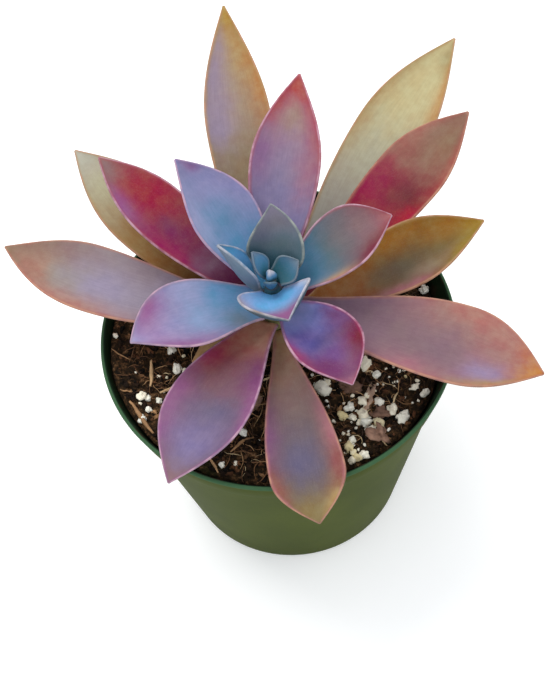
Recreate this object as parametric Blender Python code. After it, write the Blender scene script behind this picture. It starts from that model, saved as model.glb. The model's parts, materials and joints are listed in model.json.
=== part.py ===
"""A graptoveria in a round plastic nursery pot.

Lengths are in metres and angles in degrees, with +Z up. The origin is the centre of the pot's base.
The front of the plant faces -Y. An azimuth of 0 points along +X, and 90 along +Y.
"""

import math
from typing import NamedTuple

import bmesh
import bpy
import numpy as np
from mathutils import Matrix, Vector

GAP = 0.0003  # clearance between pieces that touch

# Pot
RIM_RADIUS = 0.054
RIM_THICKNESS = 0.0014
RIM_ARC_STEPS = 4
POT_HEIGHT = 0.086
BAND_HEIGHT = 0.011
BAND_TAPER = 0.0022
BAND_STEP = 0.0012
BAND_FOOT = POT_HEIGHT - BAND_HEIGHT
INNER_SHOULDER = BAND_FOOT - BAND_STEP
BASE_RADIUS = 0.037
WALL = 0.0012
FLOOR = 0.0018
FOOT_ROUND = 0.0014
FLOOR_CORNER = 0.002
POT_SIDES = 48
DRAIN_HOLES = 8
DRAIN_RADIUS = 0.0035
DRAIN_CIRCLE = 0.028
DRAIN_SIDES = 10

# Soil. Its top is raised a little round the stem, rises to the wall, most on the left, and is rough.
SOIL_LEVEL = 0.0784
SOIL_MOUND = 0.0008
SOIL_RISE = 0.0036
SOIL_LEAN = 0.72
SOIL_EDGE_ROUND = 0.0011
BROAD_BUMP = 0.0007
FINE_BUMP = 0.0005
SOIL_SIDES = 36
SOIL_RINGS = 7
SOIL_RING_SPREAD = 1.15
HOLE_DEPTH = 0.03
SOIL_SEED = 11

# Stem
STEM_RADIUS = 0.0046
STEM_TAPER_FROM = 0.098
STEM_TOP = 0.1125
STEM_TIP_RADIUS = 0.0016
STEM_TIP_ROUND = 0.0004
STEM_SIDES = 14
FOOT_CHAMFER = 0.0008
SCARS_FROM = 0.0817
SCAR_SPACING = 0.0032
SCAR_SWELL = 0.0003

# Bud
BUD_HEIGHT = 0.0042
BUD_RADIUS = 0.0016
BUD_RIBS = 3
BUD_RIB_DEPTH = 0.12
BUD_TWIST = 0.5
BUD_SIDES = 9
BUD_ROWS = 5

# Leaves
LEAF_THICKNESS = 0.0042
LEAF_EDGE = 0.0009
LEAF_TIP_WIDTH = 0.0011
LEAF_STATIONS = 12
FACE_POINTS = 5


class Leaf(NamedTuple):
    """One leaf, from its base on the stem to its tip."""

    name: str
    azimuth: float
    height: float
    length: float
    width: float
    pitch: float
    tip_pitch: float
    swing: float = 0
    roll: float = 0
    cup: float = 24
    widest: float = 0.6
    neck: float = 0.32
    blunt: float = 1.1


# Numbered up the stem, oldest first. Swing is how far the azimuth turns by the tip, roll tilts the
# face to one side, cup is how far each margin is raised, widest is the place of the greatest width
# along the leaf, neck is the width of the base over the greatest width, and blunt rounds the tip.
LEAVES = [
    Leaf("leaf_01", 59, 0.0825, 0.105, 0.0252, 5, 39, swing=-23, widest=0.66, neck=0.26),
    Leaf("old_leaf", 199, 0.0855, 0.0225, 0.016, -3, -8, swing=-16, cup=16, widest=0.55),
    Leaf("leaf_02", 137, 0.0878, 0.079, 0.023, 19, 16, swing=-8, roll=-8, cup=22),
    Leaf("leaf_03", 95, 0.0915, 0.096, 0.021, 26, 22, swing=-6, roll=-5, cup=30, blunt=0.95),
    Leaf("leaf_04", 41.8, 0.0873, 0.083, 0.0235, 9, 35, swing=-13, widest=0.69, neck=0.22, cup=26),
    Leaf("leaf_05", 14.2, 0.0909, 0.0635, 0.0225, 12, 19, swing=-4, roll=5, cup=24, neck=0.12),
    Leaf("leaf_06", 272, 0.0925, 0.062, 0.022, 3, -12, swing=4, roll=6, cup=18, widest=0.76, neck=0.14),
    Leaf("leaf_07", 171, 0.0932, 0.0795, 0.0235, 11, 11, swing=-22, cup=16, widest=0.62, blunt=1.2),
    Leaf("leaf_08", 138, 0.0965, 0.065, 0.019, 23, 24, swing=-5, cup=22, blunt=1.2),
    Leaf("leaf_09", 233, 0.0970, 0.058, 0.026, 4, -8, swing=5, roll=5, cup=20, widest=0.58),
    Leaf("leaf_10", 77.5, 0.0988, 0.0645, 0.022, 38, 31, swing=-8, cup=30, widest=0.58, blunt=1),
    Leaf("leaf_11", 334.7, 0.0992, 0.076, 0.028, 5, -2, swing=-3, roll=-3, cup=22, widest=0.66, blunt=1.2),
    Leaf("leaf_12", 188, 0.1010, 0.041, 0.0248, 16, 12, swing=24, cup=28, widest=0.54, neck=0.5),
    Leaf("leaf_13", 305, 0.1025, 0.037, 0.022, 25, -7, swing=-17, cup=36, widest=0.6, neck=0.3),
    Leaf("leaf_14", 116.5, 0.1030, 0.046, 0.0215, 42, 33, swing=18, cup=32, widest=0.54, blunt=0.95),
    Leaf("leaf_15", 16, 0.1048, 0.0385, 0.023, 31, 27, swing=-5, cup=34, widest=0.62, neck=0.32),
    Leaf("leaf_16", 272, 0.1082, 0.0175, 0.0252, 31, 28, swing=20, cup=60, widest=0.47),
    Leaf("leaf_17", 160.5, 0.1059, 0.0225, 0.0113, 63, 58, roll=32, cup=62, widest=0.5, neck=0.05, blunt=0.9),
    Leaf("leaf_18", 63, 0.1073, 0.0245, 0.0178, 58, 64, swing=42, roll=-10, cup=34, widest=0.4, neck=0.3),
    Leaf("leaf_19", 9, 0.1124, 0.0084, 0.0088, 40, 40, roll=24, cup=35, widest=0.5, neck=0.68),
    Leaf("leaf_20", 132, 0.1119, 0.0092, 0.0064, 65, 58, roll=12, cup=44, widest=0.45, neck=0.34),
    Leaf("leaf_21", 262, 0.1115, 0.0046, 0.0038, 74, 66, cup=40, widest=0.5, neck=0.5),
]


def clear_scene():
    for obj in list(bpy.data.objects):
        bpy.data.objects.remove(obj)


def material(name, colour, roughness):
    made = bpy.data.materials.new(name)
    made.use_nodes = True
    shader = made.node_tree.nodes["Principled BSDF"]
    shader.inputs["Base Color"].default_value = (*colour, 1)
    shader.inputs["Roughness"].default_value = roughness
    shader.inputs["Metallic"].default_value = 0
    return made


def add_object(name, mesh, finish):
    obj = bpy.data.objects.new(name, mesh)
    bpy.context.collection.objects.link(obj)
    mesh.materials.append(finish)
    mesh.shade_smooth()
    mesh.set_sharp_from_angle(angle=math.radians(40))
    return obj


def smooth_step(x):
    x = np.clip(x, 0, 1)
    return x * x * (3 - 2 * x)


def grid_solid(name, rings):
    """A closed mesh through equal rings of points, with a flat cap on the first and on the last."""
    count = len(rings[0])
    points = [tuple(point) for ring in rings for point in ring]
    faces = [tuple(reversed(range(count)))]
    for row in range(len(rings) - 1):
        for i in range(count):
            j = (i + 1) % count
            low, high = row * count, (row + 1) * count
            faces.append((low + i, low + j, high + j, high + i))
    last = (len(rings) - 1) * count
    faces.append(tuple(range(last, last + count)))
    mesh = bpy.data.meshes.new(name)
    mesh.from_pydata(points, [], faces)
    shape = bmesh.new()
    shape.from_mesh(mesh)
    bmesh.ops.recalc_face_normals(shape, faces=shape.faces)
    shape.to_mesh(mesh)
    shape.free()
    return mesh


def turned_solid(name, profile, sides):
    """A profile of (radius, height) points turned about Z. It starts and ends on the axis."""
    shape = bmesh.new()
    rows = []
    for radius, height in profile:
        turns = [0] if radius == 0 else range(sides)
        row = []
        for turn in turns:
            angle = 2 * math.pi * turn / sides
            row.append(shape.verts.new((radius * math.cos(angle), radius * math.sin(angle), height)))
        rows.append(row)
    for first, second in zip(rows, rows[1:]):
        for i in range(sides):
            j = (i + 1) % sides
            corners = [first[i % len(first)], first[j % len(first)]]
            corners += [second[j % len(second)], second[i % len(second)]]
            shape.faces.new(dict.fromkeys(corners))
    bmesh.ops.recalc_face_normals(shape, faces=shape.faces)
    mesh = bpy.data.meshes.new(name)
    shape.to_mesh(mesh)
    shape.free()
    return mesh


def wall_radius(height):
    """The pot's outer radius on the tapered wall below its band."""
    top = RIM_RADIUS - BAND_TAPER - BAND_STEP
    return BASE_RADIUS + (top - BASE_RADIUS) * height / BAND_FOOT


def inner_radius(height):
    """The pot's inner radius, which widens faster behind the band."""
    radii = (BASE_RADIUS - WALL, wall_radius(INNER_SHOULDER) - WALL, RIM_RADIUS - RIM_THICKNESS)
    return float(np.interp(height, (0, INNER_SHOULDER, POT_HEIGHT - RIM_THICKNESS / 2), radii))


def make_pot():
    """A tapered pot with a stepped band, a rounded rim and a ring of drain holes."""
    bead = RIM_THICKNESS / 2
    profile = [
        (0, 0),
        (BASE_RADIUS - FOOT_ROUND, 0),
        (wall_radius(FOOT_ROUND), FOOT_ROUND),
        (wall_radius(BAND_FOOT), BAND_FOOT),
        (RIM_RADIUS - BAND_TAPER, BAND_FOOT + BAND_STEP),
    ]
    for step in range(RIM_ARC_STEPS + 1):
        angle = math.pi * step / RIM_ARC_STEPS
        radius = RIM_RADIUS - bead + bead * math.cos(angle)
        profile.append((radius, POT_HEIGHT - bead + bead * math.sin(angle)))
    profile += [
        (inner_radius(INNER_SHOULDER), INNER_SHOULDER),
        (inner_radius(FLOOR + FLOOR_CORNER), FLOOR + FLOOR_CORNER),
        (inner_radius(FLOOR) - FLOOR_CORNER, FLOOR),
        (0, FLOOR),
    ]
    finish = material("pot_plastic", (0.075, 0.16, 0.085), 0.45)
    pot = add_object("pot", turned_solid("pot", profile, POT_SIDES), finish)
    cut_drain_holes(pot)


def cut_drain_holes(pot):
    shape = bmesh.new()
    for turn in range(DRAIN_HOLES):
        angle = 2 * math.pi * (turn + 0.5) / DRAIN_HOLES
        made = bmesh.ops.create_cone(
            shape,
            cap_ends=True,
            segments=DRAIN_SIDES,
            radius1=DRAIN_RADIUS,
            radius2=DRAIN_RADIUS,
            depth=6 * FLOOR,
        )
        place = (DRAIN_CIRCLE * math.cos(angle), DRAIN_CIRCLE * math.sin(angle), 0)
        bmesh.ops.translate(shape, verts=made["verts"], vec=place)
    mesh = bpy.data.meshes.new("drain_cutter")
    shape.to_mesh(mesh)
    shape.free()
    cutter = bpy.data.objects.new("drain_cutter", mesh)
    bpy.context.collection.objects.link(cutter)
    cutter.hide_render = True
    cutter.display_type = "WIRE"
    cut = pot.modifiers.new("drain_holes", "BOOLEAN")
    cut.operation = "DIFFERENCE"
    cut.object = cutter


def soil_height(radius, angle):
    share = radius / RIM_RADIUS
    broad = BROAD_BUMP * math.sin(5 * angle + 9 * share) * math.sin(11 * share + 2 * angle)
    fine = FINE_BUMP * math.sin(9 * angle - 17 * share)
    rise = SOIL_RISE * (1 - SOIL_LEAN * math.cos(angle))
    smooth = SOIL_LEVEL + SOIL_MOUND * (1 - share) + rise * share**3
    return smooth + (broad + fine) * min(1, 3 * share)


def soil_edge(angle):
    """The radius where the soil's side reaches its top."""
    height = soil_height(inner_radius(SOIL_LEVEL), angle) - SOIL_EDGE_ROUND
    return inner_radius(height) - 2 * GAP


def make_soil_body():
    """The fill of the pot, with a blind hole for the stem."""
    hole_radius = STEM_RADIUS + GAP
    turns = [2 * math.pi * i / SOIL_SIDES for i in range(SOIL_SIDES)]

    def ring(radius, height):
        return [(radius * math.cos(turn), radius * math.sin(turn), height) for turn in turns]

    def top_ring(share, inset=0):
        points = []
        for turn in turns:
            radius = hole_radius + (soil_edge(turn) - inset - hole_radius) * share
            height = soil_height(radius, turn) - SOIL_EDGE_ROUND + inset
            points.append((radius * math.cos(turn), radius * math.sin(turn), height))
        return points

    rings = [ring(inner_radius(FLOOR) - FLOOR_CORNER - 2 * GAP, FLOOR + GAP)]
    for height in (FLOOR + FLOOR_CORNER + GAP, INNER_SHOULDER):
        rings.append(ring(inner_radius(height) - 2 * GAP, height))
    rings.append(top_ring(1))
    for step in range(SOIL_RINGS):
        rings.append(top_ring((1 - step / (SOIL_RINGS - 1)) ** SOIL_RING_SPREAD, SOIL_EDGE_ROUND))
    rings.append(ring(hole_radius, SOIL_LEVEL - HOLE_DEPTH))
    return grid_solid("soil", rings)


class Lumps(NamedTuple):
    """A kind of lump in the soil's top. Azimuths are the middle and half width of where they lie."""

    count: int
    smallest: float
    largest: float
    flatness: float
    azimuths: tuple


LUMPS = [
    Lumps(18, 0.0012, 0.0024, 0.85, (300, 45)),  # perlite, thickest in front on the right
    Lumps(8, 0.0012, 0.0024, 0.85, (200, 180)),  # perlite elsewhere
    Lumps(7, 0.0025, 0.0040, 0.35, (250, 180)),  # bark
]
LUMP_NEAREST = 0.019
LUMP_FURTHEST = 0.0445
LUMP_STANDS_OUT = 0.15


def add_lump(kind, rng, collection):
    """A rough faceted lump, most of it sunk into the soil."""
    size = rng.uniform(kind.smallest, kind.largest)
    middle, spread = kind.azimuths
    angle = math.radians(middle + spread * rng.uniform(-1, 1))
    radius = math.sqrt(rng.uniform(LUMP_NEAREST**2, LUMP_FURTHEST**2))
    height = soil_height(radius, angle) + LUMP_STANDS_OUT * size * kind.flatness
    place = Vector((radius * math.cos(angle), radius * math.sin(angle), height))
    turn = Matrix.Rotation(rng.uniform(0, 2 * math.pi), 3, "Z")
    stretch = rng.uniform(0.8, 1.2)
    shape = bmesh.new()
    bmesh.ops.create_icosphere(shape, subdivisions=1, radius=size)
    for vert in shape.verts:
        rough = rng.uniform(0.9, 1.1)
        vert.co = turn @ Vector((vert.co.x * stretch, vert.co.y, vert.co.z * kind.flatness)) * rough + place
    mesh = bpy.data.meshes.new("lump")
    shape.to_mesh(mesh)
    shape.free()
    collection.objects.link(bpy.data.objects.new("lump", mesh))


def make_soil():
    """The fill, with its larger perlite grains and bark chips joined into its top."""
    finish = material("potting_mix", (0.035, 0.022, 0.015), 0.95)
    soil = add_object("soil", make_soil_body(), finish)
    rng = np.random.default_rng(SOIL_SEED)
    collection = bpy.data.collections.new("lumps")
    bpy.context.scene.collection.children.link(collection)
    for kind in LUMPS:
        for _ in range(kind.count):
            add_lump(kind, rng, collection)
    join = soil.modifiers.new("lumps", "BOOLEAN")
    join.operation = "UNION"
    join.operand_type = "COLLECTION"
    join.collection = collection
    join.solver = "EXACT"
    bpy.context.view_layer.objects.active = soil
    bpy.ops.object.modifier_apply(modifier=join.name)
    for obj in list(collection.objects):
        bpy.data.objects.remove(obj)
    bpy.data.collections.remove(collection)


def stem_radius(height):
    """The stem's radius, which narrows among the young leaves."""
    share = smooth_step((height - STEM_TAPER_FROM) / (STEM_TOP - STEM_TAPER_FROM))
    return STEM_RADIUS - (STEM_RADIUS - STEM_TIP_RADIUS) * float(share)


def make_stem():
    """The stem, with a low swelling at each ring of old leaf scars."""
    foot = SOIL_LEVEL - HOLE_DEPTH + GAP
    profile = [
        (0, foot),
        (STEM_RADIUS - FOOT_CHAMFER, foot),
        (STEM_RADIUS, foot + FOOT_CHAMFER),
        (STEM_RADIUS, SCARS_FROM),
    ]
    scars = int((STEM_TOP - SCARS_FROM) / SCAR_SPACING)
    for scar in range(scars):
        groove = SCARS_FROM + SCAR_SPACING * (scar + 0.5)
        swelling = groove + SCAR_SPACING / 2
        profile.append((stem_radius(groove) - SCAR_SWELL, groove))
        profile.append((stem_radius(swelling), swelling))
    profile += [(STEM_TIP_RADIUS, STEM_TOP), (0, STEM_TOP + STEM_TIP_ROUND)]
    finish = material("stem_bark", (0.30, 0.31, 0.16), 0.75)
    add_object("stem", turned_solid("stem", profile, STEM_SIDES), finish)


def half_width(leaf, along):
    """Half the leaf's width at each share of its length."""
    rise = np.sin(np.pi / 2 * np.clip(along / leaf.widest, 0, 1)) ** 1.5
    fall = np.cos(np.pi / 2 * np.clip((along - leaf.widest) / (1 - leaf.widest), 0, 1) ** leaf.blunt)
    share = np.where(along < leaf.widest, leaf.neck + (1 - leaf.neck) * rise, fall)
    return LEAF_TIP_WIDTH / 2 + (leaf.width - LEAF_TIP_WIDTH) / 2 * share


def midrib_thickness(leaf, along):
    """The leaf's thickness on its midrib: thin at the neck, fullest before the middle, thin at the tip."""
    full = LEAF_THICKNESS * min(1, 0.2 + min(leaf.width, leaf.length / 2) / 0.03)
    return LEAF_EDGE + (full - LEAF_EDGE) * (0.5 + 0.5 * np.sin(np.pi * along**0.7)) * (1 - along**4)


def leaf_frames(leaf, along):
    """The midrib's points, and the directions across the leaf and out of its face at each."""
    fine = np.linspace(0, 1, 121)
    pitch = np.radians(leaf.pitch + (leaf.tip_pitch - leaf.pitch) * fine)
    azimuth = np.radians(leaf.azimuth + leaf.swing * fine)
    level = np.stack([np.cos(azimuth), np.sin(azimuth), np.zeros_like(fine)], 1)
    ahead = level * np.cos(pitch)[:, None] + np.array([0, 0, 1]) * np.sin(pitch)[:, None]
    steps = (ahead[1:] + ahead[:-1]) / 2 * leaf.length / (len(fine) - 1)
    sunk = LEAF_THICKNESS * max(0, -math.sin(pitch[0]))
    start = level[0] * (stem_radius(leaf.height) + GAP + sunk) + np.array([0, 0, leaf.height])
    midrib = start + np.vstack([np.zeros(3), np.cumsum(steps, axis=0)])
    left = np.stack([-np.sin(azimuth), np.cos(azimuth), np.zeros_like(fine)], 1)
    face = np.cross(ahead, left)
    roll = math.radians(leaf.roll)
    across = math.cos(roll) * left + math.sin(roll) * face
    out = math.cos(roll) * face - math.sin(roll) * left

    def at(values):
        return np.stack([np.interp(along, fine, values[:, axis]) for axis in range(3)], 1)

    return at(midrib), at(across), at(out)


def leaf_rings(leaf):
    """Rings round the leaf: a hollow upper face, and a keeled underside that thins to the margin."""
    along = np.linspace(0, 1, LEAF_STATIONS)
    midrib, across, out = leaf_frames(leaf, along)
    cup = math.radians(leaf.cup)
    bend = half_width(leaf, along) / cup
    thickness = midrib_thickness(leaf, along)
    shares = np.linspace(-1, 1, FACE_POINTS)
    rings = []
    for row in range(LEAF_STATIONS):
        upper, lower = [], []
        for share in shares:
            side, rise = math.sin(cup * share), 1 - math.cos(cup * share)
            point = midrib[row] + bend[row] * (side * across[row] + rise * out[row])
            depth = LEAF_EDGE + (thickness[row] - LEAF_EDGE) * (1 - abs(share) ** 1.4)
            inward = side * across[row] - math.cos(cup * share) * out[row]
            upper.append(point)
            lower.append(point + depth * inward)
        rings.append(upper + lower[::-1])
    return rings


def make_leaf(leaf, finish):
    add_object(leaf.name, grid_solid(leaf.name, leaf_rings(leaf)), finish)


def make_bud():
    """The closed heart of the rosette: a pointed, slightly ribbed cone over the stem's tip."""
    foot = STEM_TOP + STEM_TIP_ROUND + GAP
    rings = []
    for row in range(BUD_ROWS):
        share = row / BUD_ROWS
        radius = BUD_RADIUS * math.cos(math.pi / 2 * share**1.3)
        ring = []
        for side in range(BUD_SIDES):
            angle = 2 * math.pi * side / BUD_SIDES + BUD_TWIST * share
            ribbed = radius * (1 + BUD_RIB_DEPTH * math.cos(BUD_RIBS * angle))
            ring.append((ribbed * math.cos(angle), ribbed * math.sin(angle), foot + BUD_HEIGHT * share))
        rings.append(ring)
    finish = material("young_leaf", (0.22, 0.36, 0.38), 0.6)
    add_object("bud", grid_solid("bud", rings), finish)


def main():
    clear_scene()
    make_pot()
    make_soil()
    make_stem()
    outer = material("outer_leaf", (0.36, 0.27, 0.28), 0.6)
    inner = material("inner_leaf", (0.27, 0.33, 0.42), 0.6)
    for leaf in LEAVES:
        make_leaf(leaf, inner if leaf.length < 0.05 else outer)
    make_bud()


main()
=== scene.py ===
"""The looks of a potted graptoveria: fine powdery leaves, a moulded pot and loose potting mix.

Lengths are in metres and angles in degrees, with +Z up. The front of the plant faces -Y.
An azimuth of 0 points along +X, and 90 along +Y.
"""

import json
from math import atan2, cos, hypot, pi, radians, sin, sqrt
from typing import NamedTuple

import bmesh
import bpy
import numpy as np
from mathutils import Matrix, Vector, noise

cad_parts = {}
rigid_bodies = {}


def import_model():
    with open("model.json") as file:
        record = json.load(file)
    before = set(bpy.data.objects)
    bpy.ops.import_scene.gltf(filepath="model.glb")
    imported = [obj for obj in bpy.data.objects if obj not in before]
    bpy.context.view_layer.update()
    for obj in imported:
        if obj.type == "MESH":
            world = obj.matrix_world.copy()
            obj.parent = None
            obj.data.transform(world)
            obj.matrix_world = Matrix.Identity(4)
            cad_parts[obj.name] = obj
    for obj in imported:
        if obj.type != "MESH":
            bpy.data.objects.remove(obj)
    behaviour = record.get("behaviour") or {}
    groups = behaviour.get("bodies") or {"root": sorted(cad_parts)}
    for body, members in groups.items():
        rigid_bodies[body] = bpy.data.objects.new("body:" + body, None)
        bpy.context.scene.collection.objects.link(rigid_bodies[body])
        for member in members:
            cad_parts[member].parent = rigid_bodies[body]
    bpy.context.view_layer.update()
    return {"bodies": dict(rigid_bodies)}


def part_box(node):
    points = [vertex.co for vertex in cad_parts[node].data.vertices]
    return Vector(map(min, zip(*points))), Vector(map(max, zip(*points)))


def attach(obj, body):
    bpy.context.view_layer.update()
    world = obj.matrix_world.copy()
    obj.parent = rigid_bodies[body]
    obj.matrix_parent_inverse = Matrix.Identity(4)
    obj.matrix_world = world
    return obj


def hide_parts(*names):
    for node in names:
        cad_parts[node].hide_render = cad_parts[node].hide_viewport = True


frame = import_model()
BODY = next(iter(frame["bodies"]))
POT_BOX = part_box("pot")

GAP = 0.0003  # clearance between pieces that touch

# Pot
POT_HEIGHT = POT_BOX[1][2]
RIM_RADIUS = POT_BOX[1][0]
RIM_THICKNESS = 0.0014
RIM_ARC_STEPS = 8
RIM_HIGHLIGHT_FROM = 0.0016  # the depths under the lip where a painted bluer highlight starts and where it is full
RIM_HIGHLIGHT_FULL = 0.0002
BAND_HEIGHT = 0.011
BAND_TAPER = 0.0022
BAND_STEP = 0.0012
BAND_FOOT = POT_HEIGHT - BAND_HEIGHT
INNER_SHOULDER = BAND_FOOT - BAND_STEP
BASE_RADIUS = 0.037
WALL = 0.0012
FLOOR = 0.0018
FOOT_ROUND = 0.0014
FLOOR_CORNER = 0.002
POT_SIDES = 160
POT_ROUNDING = 0.0004
DRAIN_HOLES = 8
DRAIN_RADIUS = 0.0035
DRAIN_CIRCLE = 0.028
DRAIN_SIDES = 32

# Soil. Its top is raised a little round the stem, rises to the wall, most on the left, and is rough.
SOIL_LEVEL = 0.0784
SOIL_MOUND = 0.0008
SOIL_RISE = 0.0036
SOIL_LEAN = 0.72
SOIL_EDGE_ROUND = 0.0011
BROAD_BUMP = 0.0007
FINE_BUMP = 0.0005
HOLE_DEPTH = 0.03
SOIL_SIDES = 230
SOIL_RINGS = 85
SOIL_RING_SPREAD = 0.8
CLOD_SIZE = 0.0045
CLOD_HEIGHT = 0.0013
CRUMB_HEIGHT = 0.0007

# Litter on the soil
TRIES_PER_PLACE = 40
LUMP_TILT = 0.25
BARK_ROUGHNESS = 1.5
STRAND_STEPS = 10
STRAND_SIDES = 6
STRAND_TIP = 0.35  # the share of the thickness that would be left at the very tip of a strand
STRAND_BLUNT = 0.08  # the share of the length at each end that tapers no further
STRAND_WANDER = 0.12

# Stem
STEM_RADIUS = 0.0046
STEM_TAPER_FROM = 0.098
STEM_TOP = 0.1125
STEM_TIP_RADIUS = 0.0016
STEM_TIP_ROUND = 0.0004
STEM_FOOT_ROUND = 0.0008
STEM_RIPPLE = 0.0001
STEM_SIDES = 40
STEM_RINGS = 150
STEM_GREEN_FROM = 0.094
STEM_TEAL = (0.101, 0.106)  # the heights between which the stem turns blue green
SCARS_FROM = 0.0817
SCARS_EASE = 0.004
SCAR_SPACING = 0.0032
SCAR_SWELL = 0.0003
SCAR_WAVER = 1.5  # how far a scar strays from level, in radians of the spacing

# Bud
BUD_HEIGHT = 0.0042
BUD_RADIUS = 0.0016
BUD_RIBS = 3
BUD_RIB_DEPTH = 0.2
BUD_TWIST = 0.5
BUD_RINGS = 30
BUD_TOP_RING = 0.995  # the share of the height at the last ring, just short of the point
BUD_SIDES = 48
BUD_FINENESS = 0.95  # the fine bud's height over the plain one's

# Leaves
LEAF_THICKNESS = 0.0042
LEAF_EDGE = 0.0007
LEAF_TIP_WIDTH = 0.0005
LEAF_TIP_THINNING = 0.45
LEAF_KEEL = 1.4  # how full the underside stays between the midrib and the margin
LEAF_FULL_SIZE = 0.03  # the size of leaf that adds the whole thickness to the least share of it
LEAF_LEAST_SHARE = 0.2
LEAST_HALF_WIDTH = 0.0001
MIDRIB_STEPS = 120
LEAF_STATIONS = 72
LEAF_STATION_SPREAD = 0.9
FACE_POINTS = 21
EDGE_POINTS = 5
RIPPLE = 0.00022
RIPPLE_FULL_WIDTH = 0.02  # the width of leaf from which the ripple is full
INNER_LEAF_LENGTH = 0.05

# Camera, from the rim's ellipse in the photograph, and the studio's floor
IMAGE_WIDTH = 546
IMAGE_HEIGHT = 677
FOCAL_PIXELS = 1388
SENSOR = 36
CAMERA_ELEVATION = 57.5
CAMERA_ROLL = -7.5
CAMERA_DISTANCE = 0.42
AIM_RIGHT = -0.0013
AIM_UP = -0.0030
FLOOR_REACH = 3
ROUNDS_TO_SOIL = 4  # how often the camera's line is met with the rough soil


def camera_axes():
    """The camera's directions to its right, up and back."""
    elevation = radians(CAMERA_ELEVATION)
    roll = radians(CAMERA_ROLL)
    back = Vector((0, -cos(elevation), sin(elevation)))
    level = Vector((1, 0, 0))
    right = cos(roll) * level + sin(roll) * back.cross(level)
    return right, back.cross(right), back


def camera_place():
    right, up, back = camera_axes()
    return Vector((0, 0, POT_HEIGHT)) + right * AIM_RIGHT + up * AIM_UP + back * CAMERA_DISTANCE


def around(radius, angle):
    """The x and y at a radius and an angle in radians round the pot's axis."""
    return radius * cos(angle), radius * sin(angle)


def add_object(name, data):
    made = bpy.data.objects.new(name, data)
    bpy.context.collection.objects.link(made)
    return made


def mesh_of(shape, name):
    """A mesh with the faces of a bmesh, which is then freed."""
    mesh = bpy.data.meshes.new(name)
    shape.to_mesh(mesh)
    shape.free()
    return mesh


def set_camera():
    """A camera that looks down on the rim, tilted a little as the photograph is."""
    data = bpy.data.cameras.new("camera")
    data.sensor_width = SENSOR
    data.lens = FOCAL_PIXELS * SENSOR / IMAGE_HEIGHT
    data.clip_start = 0.01
    camera = add_object("camera", data)
    camera.location = camera_place()
    camera.rotation_euler = Matrix(camera_axes()).transposed().to_euler()
    bpy.context.scene.camera = camera


def add_light(name, azimuth, elevation, distance, size, power, colour):
    """A square soft light, aimed at the plant from an azimuth and an elevation."""
    elevation = radians(elevation)
    back = Vector((*around(cos(elevation), radians(azimuth)), sin(elevation)))
    data = bpy.data.lights.new(name, "AREA")
    data.size = size
    data.energy = power
    data.color = colour
    light = add_object(name, data)
    light.location = Vector((0, 0, POT_HEIGHT)) + back * distance
    light.rotation_euler = back.to_track_quat("Z", "Y").to_euler()


def set_studio():
    """A pale floor, a pale surrounding and three soft lights."""
    bpy.context.scene.view_settings.view_transform = "Standard"
    world = bpy.data.worlds.new("studio")
    world.use_nodes = True
    surrounding = world.node_tree.nodes["Background"].inputs
    surrounding["Color"].default_value = (0.93, 0.96, 1, 1)
    surrounding["Strength"].default_value = 0.8
    bpy.context.scene.world = world
    add_light("key", 125, 62, distance=1, size=0.7, power=6.5, colour=(1, 0.98, 0.95))
    add_light("fill", 265, 48, distance=1.2, size=1, power=3, colour=(0.93, 0.96, 1))
    add_light("side", 10, 35, distance=1.2, size=0.8, power=2, colour=(1, 0.97, 0.94))
    shape = bmesh.new()
    bmesh.ops.create_grid(shape, x_segments=1, y_segments=1, size=FLOOR_REACH)
    floor = add_object("floor", mesh_of(shape, "floor"))
    finish = Finish("floor_paper")
    finish.feed("Emission Color", (1, 1, 1, 1))
    finish.feed("Emission Strength", 0.25)
    floor.data.materials.append(finish.coat((0.9, 0.9, 0.9, 1), 0.9))


def srgb(red, green, blue):
    """A screen colour of 0 to 255 as the linear colour that a shader takes."""
    linear = [((c / 255 + 0.055) / 1.055) ** 2.4 for c in (red, green, blue)]
    return (*linear, 1)


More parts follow.
